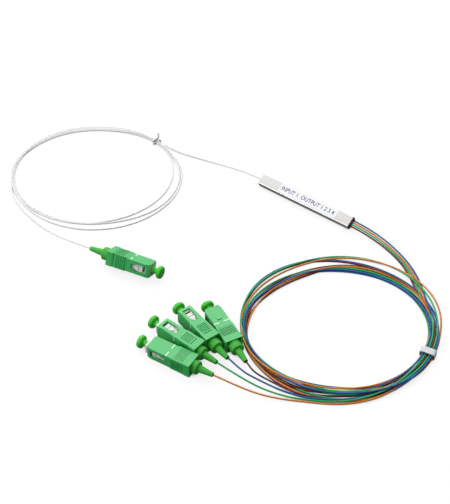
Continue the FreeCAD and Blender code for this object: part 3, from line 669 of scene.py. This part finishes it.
capBuild = {
    "outline": [(26.2, 0.0, 0.0), (26.2, 1.29, 0.0), (21.0, 1.29, 0.1), (21.0, 2.2, 0.15),
                (25.6, 2.2, 0.2), (26.4, 1.65, 0.3), (27.85, 1.65, 0.35), (28.35, 3.5, 0.75),
                (30.75, 3.42, 0.9), (30.9, 0.8, 0.15), (30.75, 0.62, 0.1), (30.75, 0.0, 0.0)],
    "steps": 48,
}


def meshObject(name, bm):
    data = bpy.data.meshes.new(name)
    bm.to_mesh(data)
    bm.free()
    made = bpy.data.objects.new(name, data)
    bpy.context.scene.collection.objects.link(made)
    return made


def turnPiece(name, build, matrix, body, replaced, look):
    bm = bmesh.new()
    corners = [bm.verts.new((x, 0, radius)) for x, radius, _ in build["outline"]]
    for start, end in zip(corners, corners[1:]):
        bm.edges.new((start, end))
    for corner, (_, _, rounding) in zip(corners, build["outline"]):
        if rounding:
            bmesh.ops.bevel(bm, geom=[corner], affect="VERTICES", offset=rounding,
                            offset_type="OFFSET", segments=4, profile=0.5, material=-1)
    bmesh.ops.spin(bm, geom=bm.verts[:] + bm.edges[:], axis=(1, 0, 0), cent=(0, 0, 0),
                   angle=math.tau, steps=build["steps"], use_merge=True)
    bmesh.ops.remove_doubles(bm, verts=bm.verts[:], dist=0.002)
    bmesh.ops.recalc_face_normals(bm, faces=bm.faces[:])
    bmesh.ops.transform(bm, matrix=Matrix.Scale(mm, 4) @ matrix, verts=bm.verts[:])
    for face in bm.faces:
        face.smooth = True
    for edge in bm.edges:
        edge.smooth = len(edge.link_faces) == 2 and edge.calc_face_angle(0.0) < 0.7
    piece = meshObject(name, bm)
    dress(piece, finish(look))
    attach(piece, body)
    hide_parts(replaced)
    return piece


for name in connectorPlaces:
    place = connectorMatrix(name)
    turnPiece(f"{name}Boot", bootBuild, place, "splitter", f"{name}_boot",
                                     "softRubberGreen")
    turnPiece(f"{name}DustCap", capBuild, place, f"{name}_cap",
                                         f"{name}_dust_cap", "waxyPolyethylene")


# ---- cords laid

cordFacts = {
    "input": {"piece": "inputLead", "side": -1, "lane": 0.0, "connector": "in", "length": 1.12,
              "replaces": ["input_cord", "input_coil"]},
    "orange": {"piece": "outputLead1", "side": 1, "connector": "out1", "length": 1.15,
               "replaces": ["output_cord_1", "output_coil"]},
    "green": {"piece": "outputLead2", "side": 1, "connector": "out2", "length": 1.15,
              "replaces": ["output_cord_2", "output_coil"]},
    "blue": {"piece": "outputLead3", "side": 1, "connector": "out3", "length": 1.15,
             "replaces": ["output_cord_3", "output_coil"]},
    "brown": {"piece": "outputLead4", "side": 1, "connector": "out4", "length": 1.15,
              "replaces": ["output_cord_4", "output_coil"]},
}


def makeCords():
    turns = {**layTurns(inputWinding), **layTurns(outputWinding)}
    made = {}
    for colour, facts in cordFacts.items():
        routes = inputRoutes if colour == "input" else outputRoutes[colour]
        lane = facts.get("lane", routes.get("lane"))
        connector = facts["connector"]
        line = cordLine(facts["side"], lane, routes, turns[colour], connector)
        material = extrudedPvc(f"extrudedPvc_{colour}", jacketColours[colour])
        cord = makeCord(facts["piece"], line, material)
        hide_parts(*facts["replaces"])
        made[colour] = cord
    return made


cords = makeCords()
print("cords laid:", len(cords))


# ---- label on the tube: a strip from its near edge over the top and down the far side

labelBuild = {
    "from": -17.0, "to": 21.0, "thick": 0.05,
    "outline": [(-2.75, 2.02, 0.0), (3.52, 2.02, 0.6), (3.52, -0.4, 0.0)],  # y, z, rounding
    "words": "INPUT 1  OUTPUT 1 2 3 4", "wordsFrom": -15.6, "wordsTo": 19.2, "tall": 2.5,
    "middle": 0.15, "bold": 0.012,
}


def makeLabel():
    build = labelBuild
    bm = bmesh.new()
    corners = [bm.verts.new((build["from"], y, z)) for y, z, _ in build["outline"]]
    for start, end in zip(corners, corners[1:]):
        bm.edges.new((start, end))
    for corner, (_, _, rounding) in zip(corners, build["outline"]):
        if rounding:
            bmesh.ops.bevel(bm, geom=[corner], affect="VERTICES", offset=rounding,
                            offset_type="OFFSET", segments=6, profile=0.5, material=-1)
    swept = bmesh.ops.extrude_edge_only(bm, edges=bm.edges[:])
    far = [v for v in swept["geom"] if isinstance(v, bmesh.types.BMVert)]
    bmesh.ops.translate(bm, vec=(build["to"] - build["from"], 0, 0), verts=far)
    bmesh.ops.recalc_face_normals(bm, faces=bm.faces[:])
    top = max(bm.faces, key=lambda face: face.calc_area())
    if top.normal.z < 0:
        bmesh.ops.reverse_faces(bm, faces=bm.faces[:])
    bmesh.ops.solidify(bm, geom=bm.faces[:], thickness=-build["thick"])
    for face in bm.faces:
        face.smooth = True
    for edge in bm.edges:
        edge.smooth = len(edge.link_faces) == 2 and edge.calc_face_angle(0.0) < 0.6
    bmesh.ops.transform(bm, matrix=Matrix.Scale(mm, 4) @ moduleMatrix(), verts=bm.verts[:])
    label = meshObject("tubeLabel", bm)
    dress(label, finish("labelPolyester"))
    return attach(label, "splitter")


def makeWords():
    build = labelBuild
    data = bpy.data.curves.new("portWords", "FONT")
    data.body = build["words"]
    data.resolution_u = 4
    data.extrude = 0.002
    data.offset = build["bold"]
    drawn = bpy.data.objects.new("portWordsDrawn", data)
    bpy.context.scene.collection.objects.link(drawn)
    flat = bpy.data.meshes.new_from_object(drawn)
    bpy.data.objects.remove(drawn)
    bm = bmesh.new()
    bm.from_mesh(flat)
    low = Vector([min(v.co[i] for v in bm.verts) for i in range(3)])
    high = Vector([max(v.co[i] for v in bm.verts) for i in range(3)])
    wide = build["wordsTo"] - build["wordsFrom"]
    fit = Matrix.Diagonal((wide / (high.x - low.x), build["tall"] / (high.y - low.y), 4.0, 1.0))
    shift = Matrix.Translation((build["wordsFrom"], build["middle"] - build["tall"] / 2,
                                2.02 + build["thick"] + 0.005))
    matrix = Matrix.Scale(mm, 4) @ moduleMatrix() @ shift @ fit @ Matrix.Translation(-low)
    bmesh.ops.transform(bm, matrix=matrix, verts=bm.verts[:])
    words = meshObject("portWords", bm)
    dress(words, finish("printedInk"))
    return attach(words, "splitter")


makeLabel()
makeWords()
print("label on")


# ---- ties

outputTieBuild = {
    "heading": 12.5, "middle": -1.8,  # where on the coil, and how far across from its line
    "half": (4.15, 2.25), "square": 0.46,  # half width and half height outside, and how boxy
    "skew": 0.2,  # the band leans along the bundle, in millimetres from side to side
    # along the bundle and inset from the outside, over the domed band
    "rings": [(-1.95, 0.4), (-2.05, 0.25), (-1.8, 0.12), (-1.2, 0.04), (0.0, 0.0), (1.2, 0.04),
              (1.8, 0.12), (2.05, 0.25), (1.95, 0.4)],
    "segments": 48,
}

bandWall, bandAboveFloor = 0.35, 0.03

inputTieBuild = {
    "heading": 78.0, "middle": 0.94,
    "half": (1.95, 1.28), "square": 0.42, "skew": 0.9,
    "rings": [(-0.75, 0.3), (-0.85, 0.1), (-0.6, 0.0), (0.6, 0.0), (0.85, 0.1), (0.75, 0.3)],
    "segments": 32,
}


def tieMatrix(winding, build):
    # x along the bundle, y outwards across it, z up, with the origin on the floor
    heading = build["heading"]
    angle = math.radians(heading)
    radius = windingRadius(winding, heading) + build["middle"]
    return (Matrix.Translation((winding["centre"][0] + radius * math.cos(angle),
                                winding["centre"][1] + radius * math.sin(angle), 0))
            @ Matrix.Rotation(angle - math.pi / 2, 4, "Z"))


def makeBand(name, winding, build, replaced, look):
    bm = bmesh.new()
    ring = bmesh.ops.create_circle(bm, cap_ends=False, segments=build["segments"],
                                   radius=1.0)["verts"]
    bmesh.ops.rotate(bm, verts=ring, cent=(0, 0, 0), matrix=Matrix.Rotation(math.pi / 2, 3, "Y"))
    wide, tall = build["half"]
    rings = [ring]
    for _ in build["rings"][1:]:
        edges = [e for e in bm.edges if all(v in rings[-1] for v in e.verts)]
        grown = bmesh.ops.extrude_edge_only(bm, edges=edges)["geom"]
        rings.append([v for v in grown if isinstance(v, bmesh.types.BMVert)])
    for verts, (along, inset) in zip(rings, build["rings"]):
        for v in verts:
            # a circle drawn out to a soft-cornered oval
            sideways = math.copysign(abs(v.co.y) ** build["square"], v.co.y)
            upwards = math.copysign(abs(v.co.z) ** build["square"], v.co.z)
            v.co = (along + build["skew"] * sideways, (wide - inset) * sideways,
                    tall + bandAboveFloor + (tall - inset) * upwards)
    bmesh.ops.recalc_face_normals(bm, faces=bm.faces[:])
    place = tieMatrix(winding, build)
    bmesh.ops.transform(bm, matrix=Matrix.Scale(mm, 4) @ place, verts=bm.verts[:])
    for face in bm.faces:
        face.smooth = True
    band = meshObject(name, bm)
    wall = band.modifiers.new("wall", "SOLIDIFY")
    wall.thickness = bandWall * mm
    wall.offset = -1.0
    dress(band, finish(look))
    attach(band, "splitter")
    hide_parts(replaced)
    return band


tailBuild = {
    # the small tie's standing end: along, across and up, with the turn of the ribbon there
    "spine": [(-0.6, -2.2, 1.3), (-0.3, -1.9, 2.5), (0.1, 0.2, 3.05), (0.2, 1.4, 3.7),
              (-0.1, 1.7, 4.8), (-0.5, 1.5, 5.7), (-0.8, 1.2, 6.1)],
    "wide": 1.25, "thick": 0.6,
    "knot": {"at": (0.1, -2.3, 1.0), "size": (1.0, 0.65, 0.8)},
}


def makeTail(winding, build):
    bm = bmesh.new()
    place = tieMatrix(winding, inputTieBuild)
    spine = [Vector(p) for p in build["spine"]]
    before = None
    for i, at in enumerate(spine):
        ahead = (spine[min(i + 1, len(spine) - 1)] - spine[max(i - 1, 0)]).normalized()
        section = bmesh.ops.create_circle(bm, cap_ends=False, segments=12, radius=0.5)["verts"]
        taper = 1.0 if i < len(spine) - 1 else 0.7
        bmesh.ops.scale(bm, vec=(build["wide"] * taper, build["thick"] * taper, 1), verts=section)
        turn = ahead.to_track_quat("Z", "X").to_matrix()
        bmesh.ops.rotate(bm, verts=section, cent=(0, 0, 0), matrix=turn)
        bmesh.ops.translate(bm, vec=at, verts=section)
        here = [e for e in bm.edges if all(v in section for v in e.verts)]
        if before:
            bmesh.ops.bridge_loops(bm, edges=before + here)
        before = here
    ends = [e for e in bm.edges if len(e.link_faces) == 1]
    bmesh.ops.holes_fill(bm, edges=ends, sides=0)
    knot = build["knot"]
    ball = bmesh.ops.create_uvsphere(bm, u_segments=16, v_segments=10, radius=1.0)["verts"]
    bmesh.ops.scale(bm, vec=knot["size"], verts=ball)
    for v in ball:
        v.co.x += 0.25 * v.co.z * v.co.y
    bmesh.ops.translate(bm, vec=knot["at"], verts=ball)
    bmesh.ops.recalc_face_normals(bm, faces=bm.faces[:])
    bmesh.ops.transform(bm, matrix=Matrix.Scale(mm, 4) @ place, verts=bm.verts[:])
    for face in bm.faces:
        face.smooth = True
    tail = meshObject("inputTieTail", bm)
    rounded = tail.modifiers.new("rounded", "SUBSURF")
    rounded.levels = rounded.render_levels = 2
    dress(tail, finish("softPvcGrey"))
    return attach(tail, "splitter")


makeBand("outputTieBand", outputWinding, outputTieBuild, "output_tie", "softPvcWhite")
makeBand("inputTieBand", inputWinding, inputTieBuild, "input_tie", "softPvcPale")
makeTail(inputWinding, tailBuild)
print("ties round the coils")


# ---- floor and light

studio = {
    "floorSize": 4.0,  # metres
    "world": 0.16,
    "overhead": {"size": 1.6, "power": 8.4, "distance": 1.3, "turn": 0.0, "rise": 88.0},
    "behind": {"size": 1.9, "power": 26.0, "distance": 1.5, "turn": 0.0, "rise": 38.0},
    "left": {"size": 1.2, "power": 15.0, "distance": 1.5, "turn": 100.0, "rise": 28.0},
    "front": {"size": 1.5, "power": 2.0, "distance": 1.5, "turn": 180.0, "rise": 32.0},
    "paper": "#F2F2F2", "under": "#5A5A5A",  # to the eye, and in the light it throws back
    "bleach": 0.8,  # share of the floor's colour that is plain white to the eye
    "bleachStrength": 1.02,
    "mirrored": 0.2,  # share of that white in reflections
    "closedIn": 0.0035,  # metres of free floor round a point, below which its white fades
}


def makeFloor():
    bm = bmesh.new()
    bmesh.ops.create_grid(bm, x_segments=1, y_segments=1, size=studio["floorSize"] / 2)
    floor = meshObject("studioFloor", bm)
    material, tree = newMaterial("paperSweep")
    path = addNode(tree, "ShaderNodeLightPath")
    mirrored = addNode(tree, "ShaderNodeMath", {"operation": "MULTIPLY", 1: studio["mirrored"]},
                       {0: path.outputs["Is Glossy Ray"]})
    seen = addNode(tree, "ShaderNodeMath", {"operation": "MAXIMUM"},
                   {0: path.outputs["Is Camera Ray"], 1: mirrored.outputs[0]})
    seen = addNode(tree, "ShaderNodeMath", {"operation": "MAXIMUM"},
                   {0: seen.outputs[0], 1: path.outputs["Is Transmission Ray"]})
    # the gaps between strands stay dark: by ambient occlusion the white fades where the floor is
    # closed in, a painted shade there
    openness = addNode(tree, "ShaderNodeAmbientOcclusion",
                       {"samples": 8, "Distance": studio["closedIn"]})
    share = addNode(tree, "ShaderNodeMapRange", {"From Min": 0.1, "From Max": 0.4, "To Min": 0.0,
                                                 "To Max": studio["bleach"]},
                    {"Value": openness.outputs["AO"]})
    part = addNode(tree, "ShaderNodeMath", {"operation": "MULTIPLY"},
                   {0: seen.outputs[0], 1: share.outputs["Result"]})
    grey = addNode(tree, "ShaderNodeMix", {"data_type": "RGBA", 6: fromHex(studio["under"]),
                                           7: fromHex(studio["paper"])},
                   {0: path.outputs["Is Camera Ray"]})
    paper = addNode(tree, "ShaderNodeBsdfDiffuse", {}, {"Color": grey.outputs[2]})
    white = addNode(tree, "ShaderNodeEmission", {"Color": (1, 1, 1, 1),
                                                 "Strength": studio["bleachStrength"]})
    mix = addNode(tree, "ShaderNodeMixShader", {}, {0: part.outputs[0], 1: paper.outputs[0],
                                                    2: white.outputs[0]})
    addNode(tree, "ShaderNodeOutputMaterial", {}, {"Surface": mix.outputs[0]})
    dress(floor, material)
    return floor


def makeLamp(name, lamp):
    # turn is measured from straight behind the object as the camera sees it
    data = bpy.data.lights.new(name, "AREA")
    data.shape = "SQUARE"
    data.size = lamp["size"]
    data.energy = lamp["power"]
    light = bpy.data.objects.new(name, data)
    bpy.context.scene.collection.objects.link(light)
    aim = Vector(cameraView["aim"]) * mm
    away = aim - Vector(cameraView["place"]) * mm
    heading = math.atan2(away.y, away.x) + math.radians(lamp["turn"])
    rise = math.radians(lamp["rise"])
    out = Vector((math.cos(heading) * math.cos(rise), math.sin(heading) * math.cos(rise),
                  math.sin(rise)))
    light.location = aim + out * lamp["distance"]
    light.rotation_euler = (-out).to_track_quat("-Z", "Y").to_euler()
    return light


def makeWorld():
    world = bpy.data.worlds.new("studio")
    bpy.context.scene.world = world
    world.use_nodes = True
    tree = world.node_tree
    tree.nodes.clear()
    path = addNode(tree, "ShaderNodeLightPath")
    room = addNode(tree, "ShaderNodeBackground", {"Color": (1, 1, 1, 1),
                                                  "Strength": studio["world"]})
    white = addNode(tree, "ShaderNodeBackground", {"Color": (1, 1, 1, 1), "Strength": 1.0})
    mix = addNode(tree, "ShaderNodeMixShader", {}, {0: path.outputs["Is Camera Ray"],
                                                    1: room.outputs[0], 2: white.outputs[0]})
    addNode(tree, "ShaderNodeOutputWorld", {}, {"Surface": mix.outputs[0]})


makeFloor()
makeLamp("overheadSoftbox", studio["overhead"])
makeLamp("behindSoftbox", studio["behind"])
makeLamp("leftFill", studio["left"])
makeLamp("frontFill", studio["front"])
makeWorld()
bpy.context.scene.view_settings.view_transform = "Standard"
print("studio lit")
